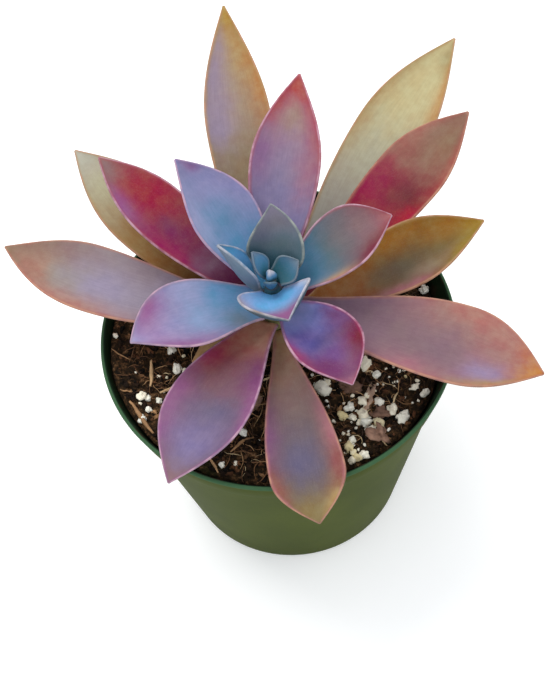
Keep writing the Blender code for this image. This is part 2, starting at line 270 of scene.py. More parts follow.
class Finish:
    """A material, with a method for each kind of node that its look is made of."""

    def __init__(self, name):
        self.made = bpy.data.materials.new(name)
        self.made.use_nodes = True
        self.shader = self.made.node_tree.nodes["Principled BSDF"]

    def add(self, kind, **inputs):
        node = self.made.node_tree.nodes.new("ShaderNode" + kind)
        for key, value in inputs.items():
            self.plug(node.inputs[key.replace("_", " ")], value)
        return node

    def plug(self, socket, value):
        if isinstance(value, bpy.types.NodeSocket):
            self.made.node_tree.links.new(value, socket)
        else:
            socket.default_value = value

    def feed(self, name, value):
        self.plug(self.shader.inputs[name], value)

    def attribute(self, name, output="Fac"):
        node = self.add("Attribute")
        node.attribute_name = name
        return node.outputs[output]

    def math(self, operation, first, second=0.0):
        node = self.add("Math")
        node.operation = operation
        self.plug(node.inputs[0], first)
        self.plug(node.inputs[1], second)
        return node.outputs[0]

    def split(self, vector):
        return self.add("SeparateXYZ", Vector=vector).outputs

    def join(self, x, y, z=0.0):
        return self.add("CombineXYZ", X=x, Y=y, Z=z).outputs[0]

    def place(self):
        """The object's own coordinates, in metres."""
        return self.add("TexCoord").outputs["Object"]

    def noise(self, scale, vector=None, detail=3.0, roughness=0.5):
        node = self.add("TexNoise", Scale=scale, Detail=detail, Roughness=roughness)
        self.plug(node.inputs["Vector"], vector or self.place())
        return node.outputs["Fac"]

    def span(self, value, low, high, to_low=0.0, to_high=1.0):
        """Eases from to_low, at low, up to to_high, at high."""
        node = self.add("MapRange", Value=value, From_Min=low, From_Max=high, To_Min=to_low, To_Max=to_high)
        node.interpolation_type = "SMOOTHSTEP"
        return node.outputs[0]

    def ramp(self, factor, stops, easing="EASE"):
        node = self.add("ValToRGB", Fac=factor)
        node.color_ramp.interpolation = easing
        elements = node.color_ramp.elements
        while len(elements) < len(stops):
            elements.new(0.5)
        for element, (position, colour) in zip(elements, stops):
            element.position = position
            element.color = colour
        return node.outputs["Color"]

    def mix(self, factor, first, second, blend="MIX"):
        node = self.add("Mix")
        node.data_type = "RGBA"
        node.blend_type = blend
        self.plug(node.inputs["Factor"], factor)
        self.plug(node.inputs["A"], first)
        self.plug(node.inputs["B"], second)
        return node.outputs["Result"]

    def stretch(self, noise, low, high):
        """Carries a noise, most of which lies between 0.25 and 0.75, over to low and high."""
        return self.span(noise, 0.25, 0.75, low, high)

    def shade(self, colour, noise, low, high):
        """Makes the colour darker and lighter with a noise, between two brightnesses."""
        level = self.stretch(noise, low, high)
        return self.mix(1.0, colour, self.join(level, level, level), "MULTIPLY")

    def vary(self, colour, noise, hue, saturation):
        """Turns the hue and the saturation a little either way with a noise."""
        turned = self.stretch(noise, 0.5 - hue, 0.5 + hue)
        richer = self.stretch(noise, 1 + saturation, 1 - saturation)
        return self.add("HueSaturation", Hue=turned, Saturation=richer, Color=colour).outputs["Color"]

    def bump(self, height, distance, strength=1.0):
        node = self.add("Bump", Height=height, Distance=distance, Strength=strength)
        if self.shader.inputs["Normal"].is_linked:
            self.plug(node.inputs["Normal"], self.shader.inputs["Normal"].links[0].from_socket)
        self.feed("Normal", node.outputs["Normal"])

    def coat(self, colour, roughness):
        """Gives the shader its colour and roughness, and hands over the material."""
        self.feed("Base Color", colour)
        self.feed("Roughness", roughness)
        return self.made


class Leaf(NamedTuple):
    """One leaf, from its base on the stem to its tip."""

    name: str
    azimuth: float
    height: float
    length: float
    width: float
    pitch: float
    tip_pitch: float
    swing: float = 0
    roll: float = 0
    cup: float = 24
    widest: float = 0.6
    neck: float = 0.32
    blunt: float = 1.1


# Numbered up the stem, oldest first. Swing is how far the azimuth turns by the tip, roll tilts the
# face to one side, cup is how far each margin is raised, widest is the place of the greatest width
# along the leaf, neck is the width of the base over the greatest width, and blunt rounds the tip.
LEAVES = [
    Leaf("leaf_01", 59, 0.0825, 0.105, 0.0252, 5, 39, swing=-23, widest=0.66, neck=0.26),
    Leaf("old_leaf", 199, 0.0855, 0.0225, 0.016, -3, -8, swing=-16, cup=16, widest=0.55),
    Leaf("leaf_02", 137, 0.0878, 0.079, 0.023, 19, 16, swing=-8, roll=-8, cup=22),
    Leaf("leaf_03", 95, 0.0915, 0.096, 0.021, 26, 22, swing=-6, roll=-5, cup=30, blunt=0.95),
    Leaf("leaf_04", 41.8, 0.0873, 0.083, 0.0235, 9, 35, swing=-13, widest=0.69, neck=0.22, cup=26),
    Leaf("leaf_05", 14.2, 0.0909, 0.0635, 0.0225, 12, 19, swing=-4, roll=5, cup=24, neck=0.12),
    Leaf("leaf_06", 272, 0.0925, 0.062, 0.022, 3, -12, swing=4, roll=6, cup=18, widest=0.76, neck=0.14),
    Leaf("leaf_07", 171, 0.0932, 0.0795, 0.0235, 11, 11, swing=-22, cup=16, widest=0.62, blunt=1.2),
    Leaf("leaf_08", 138, 0.0965, 0.065, 0.019, 23, 24, swing=-5, cup=22, blunt=1.2),
    Leaf("leaf_09", 233, 0.0970, 0.058, 0.026, 4, -8, swing=5, roll=5, cup=20, widest=0.58),
    Leaf("leaf_10", 77.5, 0.0988, 0.0645, 0.022, 38, 31, swing=-8, cup=30, widest=0.58, blunt=1),
    Leaf("leaf_11", 334.7, 0.0992, 0.076, 0.028, 5, -2, swing=-3, roll=-3, cup=22, widest=0.66, blunt=1.2),
    Leaf("leaf_12", 188, 0.1010, 0.041, 0.0248, 16, 12, swing=24, cup=28, widest=0.54, neck=0.5),
    Leaf("leaf_13", 305, 0.1025, 0.037, 0.022, 25, -7, swing=-17, cup=36, widest=0.6, neck=0.3),
    Leaf("leaf_14", 116.5, 0.1030, 0.046, 0.0215, 42, 33, swing=18, cup=32, widest=0.54, blunt=0.95),
    Leaf("leaf_15", 16, 0.1048, 0.0385, 0.023, 31, 27, swing=-5, cup=34, widest=0.62, neck=0.32),
    Leaf("leaf_16", 272, 0.1082, 0.0175, 0.0252, 31, 28, swing=20, cup=60, widest=0.47),
    Leaf("leaf_17", 160.5, 0.1059, 0.0225, 0.0113, 63, 58, roll=32, cup=62, widest=0.5, neck=0.05, blunt=0.9),
    Leaf("leaf_18", 63, 0.1073, 0.0245, 0.0178, 58, 64, swing=42, roll=-10, cup=34, widest=0.4, neck=0.3),
    Leaf("leaf_19", 9, 0.1124, 0.0084, 0.0088, 40, 40, roll=24, cup=35, widest=0.5, neck=0.68),
    Leaf("leaf_20", 132, 0.1119, 0.0092, 0.0064, 65, 58, roll=12, cup=44, widest=0.45, neck=0.34),
    Leaf("leaf_21", 262, 0.1115, 0.0046, 0.0038, 74, 66, cup=40, widest=0.5, neck=0.5),
]

# The leaves' pigments, as screen colours of 0 to 255 under the studio's lights. Some are used as painted
# light or painted shade, where the looks below say so
PIGMENTS = {
    "bright_sky": (112, 188, 246),
    "sky": (96, 160, 208),
    "pale_sky": (150, 176, 216),
    "grey_sky": (124, 154, 190),
    "teal": (78, 132, 164),
    "deep_teal": (50, 104, 118),
    "grey_teal": (106, 124, 128),
    "sea_green": (86, 106, 98),
    "slate": (102, 94, 126),
    "slate_blue": (116, 122, 166),
    "bright_periwinkle": (146, 156, 236),
    "pale_periwinkle": (180, 180, 220),
    "lavender": (158, 146, 192),
    "dusty_lavender": (132, 118, 166),
    "violet": (112, 78, 158),
    "indigo": (66, 52, 116),
    "lilac": (162, 144, 168),
    "orchid": (162, 96, 148),
    "purple": (146, 84, 138),
    "mauve": (148, 118, 138),
    "dusk": (138, 108, 112),
    "ash": (120, 108, 108),
    "taupe": (154, 114, 96),
    "grey_rose": (148, 110, 112),
    "plum": (118, 52, 104),
    "magenta": (178, 40, 96),
    "crimson": (164, 30, 54),
    "ruby": (128, 20, 48),
    "scarlet": (190, 26, 48),
    "wine": (108, 30, 42),
    "rose": (182, 82, 96),
    "pink": (190, 118, 130),
    "coral": (184, 76, 68),
    "salmon": (190, 124, 108),
    "brick": (158, 82, 70),
    "umber": (112, 78, 50),
    "copper": (168, 106, 50),
    "olive": (74, 62, 20),
    "moss": (146, 124, 74),
    "mustard": (160, 126, 24),
    "cinder": (98, 82, 82),
    "amber": (158, 104, 18),
    "orange": (206, 132, 52),
    "ochre": (188, 150, 92),
    "gold": (182, 142, 52),
    "driftwood": (156, 134, 112),
    "tan": (170, 146, 124),
    "sage": (192, 186, 150),
    "grey_sage": (180, 182, 164),
    "pale_sage": (190, 194, 184),
    "butter": (214, 200, 148),
    "stone": (172, 164, 162),
    "parchment": (228, 178, 122),
    "peach": (214, 158, 128),
    "blush": (226, 182, 200),
    "frost": (228, 226, 236),
    "ice": (130, 142, 154),
}

# Under the lights a colour looks lighter than it is, so each pigment is dimmed to this share.
PIGMENT_SHARE = 0.68

# Where along the leaf each of its four pigments is strongest
PIGMENT_STOPS = (0, 0.32, 0.68, 1)

FLUSH_FALLOFF = 0.8


def pigment(name):
    """The shader's colour for a pigment."""
    red, green, blue, _ = srgb(*PIGMENTS[name])
    return (red * PIGMENT_SHARE, green * PIGMENT_SHARE, blue * PIGMENT_SHARE, 1)


class Flush(NamedTuple):
    """A soft patch of a pigment: its place and reach across and along the leaf, and how much it covers.

    Across is 1 at the margin on the side of rising azimuth, and -1 at the other. Along is 1 at the tip.
    """

    pigment: str
    across: float
    along: float
    wide: float
    long: float
    amount: float = 0.8


class Look:
    """A leaf's pigments from base to tip, its flushes, and the colours of its margin and underside."""

    def __init__(
        self, pigments, *flushes, margin, under, line="peach", margin_width=0.001, line_width=0.0003
    ):
        self.pigments = pigments
        self.flushes = flushes
        self.margin = margin
        self.line = line
        self.under = under
        self.margin_width = margin_width
        self.line_width = line_width


LOOKS = {}
LOOKS["leaf_01"] = Look(
    # The frost at the base is painted light, lighter than the leaf, to offset the shade there.
    ("frost", "pale_sage", "butter", "butter"),
    Flush("stone", 0.4, 0.42, 0.8, 0.1, 0.4),
    Flush("grey_sage", 0.1, 0.6, 0.8, 0.1, 0.6),
    Flush("butter", 0.3, 0.8, 0.8, 0.14),
    Flush("orange", -1, 0.83, 0.3, 0.13, 0.7),
    Flush("ochre", 1, 0.75, 0.25, 0.2, 0.7),
    Flush("moss", -0.5, 0.95, 0.6, 0.05, 0.5),
    margin="ochre", under="sage",
)
# Painted light: the parchment is lighter than the old leaf's own tan, so that it looks lit where it lies in
# shade.
LOOKS["old_leaf"] = Look(("parchment",) * 4, margin="parchment", under="tan")
LOOKS["leaf_02"] = Look(
    ("umber", "copper", "ochre", "pale_sage"),
    Flush("olive", -0.3, 0.22, 0.9, 0.08, 0.7),
    Flush("ochre", 0.2, 0.56, 0.9, 0.08),
    Flush("sage", 0, 0.8, 1.2, 0.1),
    Flush("umber", -1, 0.4, 0.6, 0.16, 0.6),
    margin="ochre", under="umber",
)
LOOKS["leaf_03"] = Look(
    ("driftwood", "driftwood", "tan", "gold"),
    Flush("moss", 0, 0.46, 1.4, 0.08, 0.5),
    Flush("lavender", 0.7, 0.6, 0.5, 0.08, 0.6),
    Flush("lilac", 0.7, 0.76, 0.5, 0.14, 0.9),
    Flush("ochre", -0.6, 0.84, 0.5, 0.08, 0.6),
    Flush("orange", -1, 0.7, 0.4, 0.11, 0.7),
    Flush("gold", 0, 1, 1.4, 0.05, 0.9),
    margin="ochre", under="ochre",
)
LOOKS["leaf_04"] = Look(
    ("wine", "crimson", "taupe", "taupe"),
    Flush("crimson", 0.2, 0.48, 1.8, 0.16, 1),
    Flush("crimson", 0, 0.58, 1.6, 0.09, 1),
    Flush("magenta", 0.7, 0.58, 0.4, 0.1, 0.5),
    Flush("wine", -0.5, 0.62, 0.8, 0.08, 1),
    Flush("scarlet", -1, 0.53, 0.45, 0.1, 0.9),
    Flush("moss", -0.2, 0.86, 0.6, 0.1, 0.3),
    Flush("salmon", 1, 0.84, 0.35, 0.12),
    Flush("coral", -1, 0.8, 0.25, 0.13, 0.7),
    margin="salmon", under="brick",
)
LOOKS["leaf_05"] = Look(
    ("copper", "copper", "olive", "mustard"),
    # The dark olive middle is partly the leaf's own olive and partly painted shade from the leaf above it.
    Flush("olive", -0.1, 0.56, 0.8, 0.15, 0.9),
    Flush("amber", 0.8, 0.58, 0.5, 0.2, 0.9),
    Flush("amber", 0.6, 0.85, 0.5, 0.1),
    Flush("cinder", -0.2, 0.52, 0.3, 0.12, 0.25),
    # Painted highlight: the pale streak low on the face.
    Flush("driftwood", -0.6, 0.7, 0.25, 0.12, 0.6),
    Flush("mustard", -0.95, 0.87, 0.35, 0.1, 0.9),
    Flush("pink", -1, 0.54, 0.25, 0.14, 0.9),
    Flush("mustard", 0.2, 0.97, 1.2, 0.07, 0.9),
    margin="ochre", under="umber",
)
LOOKS["leaf_06"] = Look(
    # The parchment at the base is painted light, lighter than the leaf, to offset the shade near the stem.
    ("parchment", "dusk", "cinder", "moss"),
    Flush("taupe", 0, 0.2, 1, 0.07, 0.5),
    Flush("slate", -0.1, 0.7, 0.6, 0.13, 0.95),
    Flush("pink", 1, 0.58, 0.3, 0.15, 0.9),
    Flush("brick", 0.95, 0.77, 0.35, 0.11, 0.7),
    Flush("purple", -1, 0.57, 0.35, 0.14, 0.7),
    Flush("brick", -1, 0.79, 0.3, 0.09),
    Flush("moss", -0.2, 0.96, 1.2, 0.05, 0.8),
    Flush("ochre", 0.9, 0.92, 0.4, 0.06, 0.9),
    margin="pink", under="umber",
)
LOOKS["leaf_07"] = Look(
    ("pale_periwinkle", "lilac", "stone", "moss"),
    Flush("grey_rose", -0.7, 0.78, 0.5, 0.16, 0.7),
    Flush("lavender", 0.1, 0.6, 0.6, 0.11, 0.5),
    Flush("dusk", -0.8, 0.45, 0.5, 0.12, 0.5),
    Flush("salmon", 1, 0.7, 0.35, 0.2),
    Flush("taupe", 0, 0.93, 1.2, 0.07, 0.9),
    Flush("salmon", 0.3, 0.86, 0.6, 0.05, 0.5),
    margin="salmon", under="salmon",
)
LOOKS["leaf_08"] = Look(
    ("wine", "plum", "crimson", "taupe"),
    Flush("crimson", -0.3, 0.72, 0.9, 0.18, 1),
    Flush("orchid", 0.9, 0.76, 0.4, 0.14, 0.9),
    Flush("plum", 0.1, 0.52, 0.4, 0.06, 0.6),
    Flush("magenta", 0.9, 0.44, 0.4, 0.12, 0.7),
    Flush("brick", -0.8, 0.5, 0.5, 0.1, 0.6),
    Flush("mauve", 0.2, 0.3, 0.9, 0.05, 0.6),
    Flush("grey_rose", 0.2, 0.94, 0.9, 0.06, 1),
    margin="rose", line="blush", under="dusk",
)
LOOKS["leaf_09"] = Look(
    # The peach at the base is painted light, lighter than the leaf, to offset the shade near the stem.
    ("peach", "brick", "slate", "grey_rose"),
    Flush("dusk", 0, 0.38, 0.8, 0.1, 0.7),
    Flush("crimson", -0.9, 0.3, 0.7, 0.11, 0.8),
    Flush("plum", 0.8, 0.34, 0.6, 0.15, 0.9),
    Flush("slate", 0.2, 0.58, 0.7, 0.1),
    Flush("dusty_lavender", 0.1, 0.78, 0.8, 0.12, 0.9),
    Flush("orchid", -1, 0.6, 0.4, 0.22),
    Flush("orchid", 1, 0.5, 0.25, 0.14, 0.7),
    Flush("grey_rose", 0, 0.95, 1, 0.05, 0.7),
    margin="orchid", line="blush", under="lilac",
)
LOOKS["leaf_10"] = Look(
    # The lilac at the base is painted light, lighter than the leaf, to offset the shade near the stem.
    ("lilac", "slate_blue", "lilac", "coral"),
    Flush("lavender", 0, 0.32, 0.9, 0.12, 0.8),
    Flush("purple", 0.9, 0.62, 0.5, 0.15, 0.6),
    Flush("pink", -0.6, 0.52, 0.4, 0.11, 0.5),
    Flush("tan", -0.1, 0.8, 0.5, 0.06, 0.7),
    Flush("rose", -1, 0.72, 0.4, 0.18, 0.8),
    Flush("coral", 0, 0.94, 1.6, 0.06, 1),
    Flush("coral", 1, 0.84, 0.4, 0.06),
    margin="rose", line="blush", under="rose",
)
LOOKS["leaf_11"] = Look(
    ("mauve", "mauve", "grey_rose", "salmon"),
    Flush("salmon", 0.9, 0.66, 0.5, 0.2, 0.9),
    Flush("slate", -0.2, 0.6, 0.5, 0.1, 0.35),
    Flush("lavender", -0.55, 0.79, 0.35, 0.08, 0.7),
    Flush("dusk", 0, 0.5, 0.9, 0.16, 0.6),
    Flush("pink", -1, 0.52, 0.35, 0.14, 0.7),
    Flush("orange", 0, 0.98, 1.4, 0.05, 0.95),
    Flush("ochre", -1, 0.82, 0.2, 0.12),
    margin="salmon", under="dusk",
)
LOOKS["leaf_12"] = Look(
    ("sky", "grey_sky", "lavender", "pale_periwinkle"),
    Flush("sky", -0.6, 0.25, 0.6, 0.13, 0.7),
    # The grey teal near the base, on the side towards leaf_16, is painted shadow from that leaf.
    Flush("grey_teal", 0.7, 0.2, 0.6, 0.1, 0.7),
    Flush("pale_sky", 0.2, 0.46, 0.6, 0.1, 0.6),
    Flush("pale_periwinkle", -1, 0.46, 0.5, 0.14, 0.7),
    Flush("orchid", -0.85, 0.76, 0.5, 0.12, 0.9),
    Flush("orchid", 0, 0.84, 1, 0.1, 0.45),
    Flush("orchid", 1, 0.68, 0.4, 0.26, 0.9),
    margin="lilac", line="blush", under="lilac",
)
LOOKS["leaf_13"] = Look(
    # The pale and bright periwinkle near the base are painted light, lighter than the leaf, to offset the
    # shade from leaf_16 above.
    ("pale_periwinkle", "bright_periwinkle", "indigo", "pink"),
    Flush("violet", -0.4, 0.44, 0.5, 0.1, 0.6),
    Flush("indigo", 0.1, 0.56, 0.6, 0.1, 0.7),
    Flush("violet", -0.1, 0.73, 0.5, 0.07, 0.9),
    Flush("plum", 0.8, 0.42, 0.4, 0.12),
    Flush("ruby", 0.9, 0.7, 0.5, 0.16, 1),
    Flush("plum", -0.5, 0.8, 0.7, 0.12, 1),
    Flush("magenta", -1, 0.6, 0.25, 0.16, 0.7),
    Flush("plum", 0, 0.9, 1.2, 0.06),
    margin="magenta", line="blush", under="plum",
)
LOOKS["leaf_14"] = Look(
    ("bright_sky", "sky", "grey_sky", "dusty_lavender"),
    Flush("pale_periwinkle", 0.9, 0.6, 0.4, 0.24, 0.8),
    Flush("teal", -0.1, 0.5, 0.5, 0.1, 0.5),
    Flush("lavender", 0, 0.76, 0.8, 0.1, 0.5),
    Flush("lavender", -0.9, 0.64, 0.6, 0.24, 0.8),
    Flush("purple", -0.7, 0.93, 0.5, 0.05, 0.6),
    margin="lavender", line="blush", under="lavender",
)
LOOKS["leaf_15"] = Look(
    ("sky", "teal", "ash", "rose"),
    Flush("teal", -0.2, 0.26, 0.9, 0.1),
    Flush("sea_green", 0.1, 0.46, 0.8, 0.1, 0.45),
    Flush("ash", 0.2, 0.6, 0.8, 0.1, 0.7),
    Flush("parchment", -1, 0.46, 0.25, 0.16, 0.7),
    Flush("dusk", 0.2, 0.8, 0.7, 0.1),
    Flush("ruby", -0.9, 0.78, 0.5, 0.14, 0.75),
    margin="rose", line="blush", under="lilac",
)
LOOKS["leaf_16"] = Look(
    ("bright_sky", "bright_sky", "lilac", "orchid"),
    Flush("bright_sky", -0.4, 0.4, 0.8, 0.2, 0.8),
    Flush("pale_periwinkle", -0.9, 0.45, 0.3, 0.25, 0.7),
    Flush("orchid", 0.1, 0.82, 0.9, 0.16, 0.9),
    Flush("frost", 1, 0.6, 0.2, 0.5, 0.95),
    Flush("parchment", -1, 0.78, 0.16, 0.25),
    Flush("wine", 0.62, 0.92, 0.1, 0.025, 1),
    margin="lilac", line="frost", under="deep_teal", margin_width=0.0006, line_width=0.0005,
)
LOOKS["leaf_17"] = Look(
    ("deep_teal", "bright_sky", "bright_sky", "teal"),
    margin="teal", line="frost", under="ice", margin_width=0.0005,
)
LOOKS["leaf_18"] = Look(
    ("deep_teal", "deep_teal", "ice", "lilac"),
    Flush("grey_teal", 0, 0.5, 0.9, 0.08, 0.6),
    Flush("slate", 0.6, 0.62, 0.4, 0.14, 0.4),
    Flush("ash", -0.2, 0.78, 0.8, 0.1, 0.4),
    margin="grey_teal", line="pale_sage", under="grey_teal", margin_width=0.0008, line_width=0.0006,
)
LOOKS["leaf_19"] = Look(
    ("deep_teal", "deep_teal", "teal", "ice"),
    margin="grey_teal", line="ice", under="ice", margin_width=0.0004, line_width=0.0002,
)
LOOKS["leaf_20"] = Look(
    ("deep_teal", "teal", "sky", "ice"),
    margin="teal", line="ice", under="ice", margin_width=0.0004, line_width=0.0002,
)
LOOKS["leaf_21"] = Look(
    ("deep_teal", "teal", "grey_teal", "ice"),
    margin="teal", line="grey_teal", under="teal", margin_width=0.0003, line_width=0.0001,
)


def add_flush(finish, flush, across, along, colour):
    """The colour with a flush over it, which fades out from its middle."""
    sideways = finish.math("DIVIDE", finish.math("SUBTRACT", across, flush.across), flush.wide)
    lengthways = finish.math("DIVIDE", finish.math("SUBTRACT", along, flush.along), flush.long)
    reach = finish.math("ADD", finish.math("POWER", sideways, 2), finish.math("POWER", lengthways, 2))
    fade = finish.math("EXPONENT", finish.math("MULTIPLY", reach, -FLUSH_FALLOFF))
    amount = finish.math("MULTIPLY", fade, flush.amount)
    return finish.mix(amount, colour, pigment(flush.pigment))


def leaf_finish(leaf, look):
    """Pigments that drift along and across the leaf, under a thin powdery bloom."""
    finish = Finish(leaf.name + "_skin")
    across, along, under = finish.split(finish.attribute("leaf_place", "Vector"))
    margin = finish.attribute("margin_distance")
    drift = finish.math("SUBTRACT", finish.noise(130, detail=5, roughness=0.6), 0.5)
    swirl = finish.math("SUBTRACT", finish.noise(170, detail=5, roughness=0.6), 0.5)
    stretched = finish.join(finish.math("MULTIPLY", across, 2.5), along)
    streaks = finish.noise(9, stretched, detail=6, roughness=0.65)
    along = finish.math("ADD", along, finish.math("MULTIPLY", drift, 0.16))
    across = finish.math("ADD", across, finish.math("MULTIPLY", swirl, 0.4))
    stops = [(position, pigment(name)) for position, name in zip(PIGMENT_STOPS, look.pigments)]
    colour = finish.ramp(along, stops, "B_SPLINE")
    for flush in look.flushes:
        colour = add_flush(finish, flush, across, along, colour)
    ragged = finish.math("ADD", margin, finish.math("MULTIPLY", drift, 0.002))
    colour = finish.mix(finish.span(ragged, look.margin_width, 0, 0, 0.5), colour, pigment(look.margin))
    colour = finish.mix(finish.span(under, 0.4, 0.6, 0, 0.85), colour, pigment(look.under))
    colour = finish.vary(colour, finish.noise(210, detail=4, roughness=0.6), 0.01, 0.07)
    colour = finish.shade(colour, finish.noise(420, detail=4, roughness=0.6), 0.95, 1.05)
    colour = finish.shade(colour, streaks, 0.94, 1.06)
    powder = finish.noise(2600, detail=2)
    colour = finish.mix(finish.span(powder, 0.4, 0.8, 0, 0.035), colour, pigment("frost"))
    broken = finish.span(finish.noise(300), 0.35, 0.65, 0.15, 0.75)
    line = finish.math("MULTIPLY", finish.span(margin, look.line_width, 0), broken)
    colour = finish.mix(line, colour, pigment(look.line))
    finish.feed("Specular IOR Level", 0.2)
    finish.bump(finish.noise(1500), 0.00005, 0.5)
    finish.bump(finish.noise(180, detail=2), 0.0004, 0.3)
    return finish.coat(colour, finish.span(powder, 0.3, 0.8, 0.46, 0.6))


def add_piece(name, mesh, finish, slot, *nodes):
    """A shown piece, which rides on the part's body and stands for its CAD nodes."""
    piece = add_object(name, mesh)
    mesh.materials.append(finish)
    mesh.shade_smooth()
    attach(piece, BODY)
    if nodes:
        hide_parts(*nodes)
    return piece


def smooth_step(x):
    x = np.clip(x, 0, 1)
    return x * x * (3 - 2 * x)


def ring_solid(name, rings):
    """A closed mesh through an array of equal rings of points, with a cap on the first and the last."""
    rows, count = rings.shape[:2]
    start = np.arange(rows - 1)[:, None] * count
    i = np.arange(count)[None, :]
    j = (i + 1) % count
    quads = np.stack([start + i, start + j, start + count + j, start + count + i], -1).reshape(-1, 4)
    faces = quads.tolist()
    faces.append(list(range(count))[::-1])
    faces.append(list(range((rows - 1) * count, rows * count)))
    mesh = bpy.data.meshes.new(name)
    mesh.from_pydata(rings.reshape(-1, 3).tolist(), [], faces)
    shape = bmesh.new()
    shape.from_mesh(mesh)
    bmesh.ops.recalc_face_normals(shape, faces=shape.faces)
    shape.to_mesh(mesh)
    shape.free()
    return mesh


def half_width(leaf, along):
    """Half the leaf's width at each share of its length."""
    rise = np.sin(np.pi / 2 * np.clip(along / leaf.widest, 0, 1)) ** 1.5
    fall = np.cos(np.pi / 2 * np.clip((along - leaf.widest) / (1 - leaf.widest), 0, 1) ** leaf.blunt)
    share = np.where(along < leaf.widest, leaf.neck + (1 - leaf.neck) * rise, fall)
    return LEAF_TIP_WIDTH / 2 + (leaf.width - LEAF_TIP_WIDTH) / 2 * share


def midrib_thickness(leaf, along):
    """The leaf's thickness on its midrib: thin at the neck, fullest before the middle, thin at the tip."""
    size = min(leaf.width, leaf.length / 2)
    full = LEAF_THICKNESS * min(1, LEAF_LEAST_SHARE + size / LEAF_FULL_SIZE)
    return LEAF_EDGE + (full - LEAF_EDGE) * (0.5 + 0.5 * np.sin(np.pi * along**0.7)) * (1 - along**4)


def stem_radius(height):
    """The stem's radius, which narrows among the young leaves."""
    share = smooth_step((height - STEM_TAPER_FROM) / (STEM_TOP - STEM_TAPER_FROM))
    return STEM_RADIUS - (STEM_RADIUS - STEM_TIP_RADIUS) * float(share)


def leaf_frames(leaf, along):
    """The midrib's points, and the directions across the leaf and out of its face at each."""
    fine = np.linspace(0, 1, MIDRIB_STEPS + 1)
    pitch = np.radians(leaf.pitch + (leaf.tip_pitch - leaf.pitch) * fine)
    azimuth = np.radians(leaf.azimuth + leaf.swing * fine)
    level = np.stack([np.cos(azimuth), np.sin(azimuth), np.zeros_like(fine)], 1)
    ahead = level * np.cos(pitch)[:, None] + np.array([0, 0, 1]) * np.sin(pitch)[:, None]
    steps = (ahead[1:] + ahead[:-1]) / 2 * leaf.length / MIDRIB_STEPS
    sunk = LEAF_THICKNESS * max(0, -sin(pitch[0]))
    start = level[0] * (stem_radius(leaf.height) + GAP + sunk) + np.array([0, 0, leaf.height])
    midrib = start + np.vstack([np.zeros(3), np.cumsum(steps, axis=0)])
    left = np.stack([-np.sin(azimuth), np.cos(azimuth), np.zeros_like(fine)], 1)
    face = np.cross(ahead, left)
    roll = radians(leaf.roll)
    across = cos(roll) * left + sin(roll) * face
    out = cos(roll) * face - sin(roll) * left

    def at(values):
        return np.stack([np.interp(along, fine, values[:, axis]) for axis in range(3)], 1)

    return at(midrib), at(across), at(out)


def leaf_mesh(leaf, rng):
    """The leaf's fine surface: a hollow face, a keeled underside and a rounded edge between them."""
    along = np.linspace(0, 1, LEAF_STATIONS) ** LEAF_STATION_SPREAD
    midrib, across, out = (values[:, None, :] for values in leaf_frames(leaf, along))
    along = along[:, None]
    edge = LEAF_EDGE * (1 - LEAF_TIP_THINNING * along**8)
    half = np.maximum(half_width(leaf, along) - edge / 2, LEAST_HALF_WIDTH)
    cup = radians(leaf.cup)
    bend = half / cup
    shares = np.sin(np.linspace(-pi / 2, pi / 2, FACE_POINTS))[None, :]
    thickness = midrib_thickness(leaf, along)
    depth = edge + (thickness - edge) * (1 - np.abs(shares) ** LEAF_KEEL)

    def section(share):
        """The face's point at a share of the half width, and the ways into the leaf and across it there."""
        angle = (cup * share)[..., None]
        point = midrib + bend[..., None] * (np.sin(angle) * across + (1 - np.cos(angle)) * out)
        inward = np.sin(angle) * across - np.cos(angle) * out
        sideways = np.cos(angle) * across + np.sin(angle) * out
        return point, inward, sideways

    upper, inward, _ = section(shares)
    lower = upper + depth[..., None] * inward
    arc = np.radians(np.linspace(0, 180, EDGE_POINTS + 2)[1:-1])[None, :, None]
    edges = []
    for side in (1, -1):
        point, inward, sideways = section(np.full((1, 1), side))
        radius = edge[..., None] / 2
        edges.append(point + radius * ((1 - np.cos(arc)) * inward + side * np.sin(arc) * sideways))
    rings = np.concatenate([upper, edges[0], lower[:, ::-1], edges[1][:, ::-1]], axis=1)

    full = np.broadcast_to(shares, upper.shape[:2])
    side = np.ones((len(along), EDGE_POINTS))
    place_across = np.concatenate([full, side, full[:, ::-1], -side], axis=1)
    under = np.concatenate([0 * full, 0.5 * side, 0 * full + 1, 0.5 * side], axis=1)
    to_edge = half * (1 - np.abs(full))
    from_edge = np.concatenate([to_edge, 0 * side, to_edge, 0 * side], axis=1)
    place_along = np.broadcast_to(along, under.shape)

    phases = rng.uniform(0, 2 * pi, 3)
    margin_wave = np.sin(9 * place_along + phases[0] + place_across) * np.abs(place_across) ** 3
    face_wave = np.sin(6 * place_along + phases[1]) * np.cos(2.2 * place_across + phases[2])
    settled = np.sin(pi * np.clip(place_along, 0, 1)) * min(1, leaf.width / RIPPLE_FULL_WIDTH)
    rings = rings + (RIPPLE * (margin_wave + face_wave) * settled)[..., None] * out

    mesh = ring_solid("fine_" + leaf.name, rings)
    place = mesh.attributes.new("leaf_place", "FLOAT_VECTOR", "POINT")
    place.data.foreach_set("vector", np.stack([place_across, place_along, under], -1).ravel())
    distance = mesh.attributes.new("margin_distance", "FLOAT", "POINT")
    distance.data.foreach_set("value", from_edge.ravel())
    return mesh


def make_leaves():
    rng = np.random.default_rng(5)
    for leaf in LEAVES:
        finish = leaf_finish(leaf, LOOKS[leaf.name])
        inner = leaf.length < INNER_LEAF_LENGTH and leaf.name != "old_leaf"
        slot = "inner_leaf" if inner else "outer_leaf"
        add_piece("fine_" + leaf.name, leaf_mesh(leaf, rng), finish, slot, leaf.name)


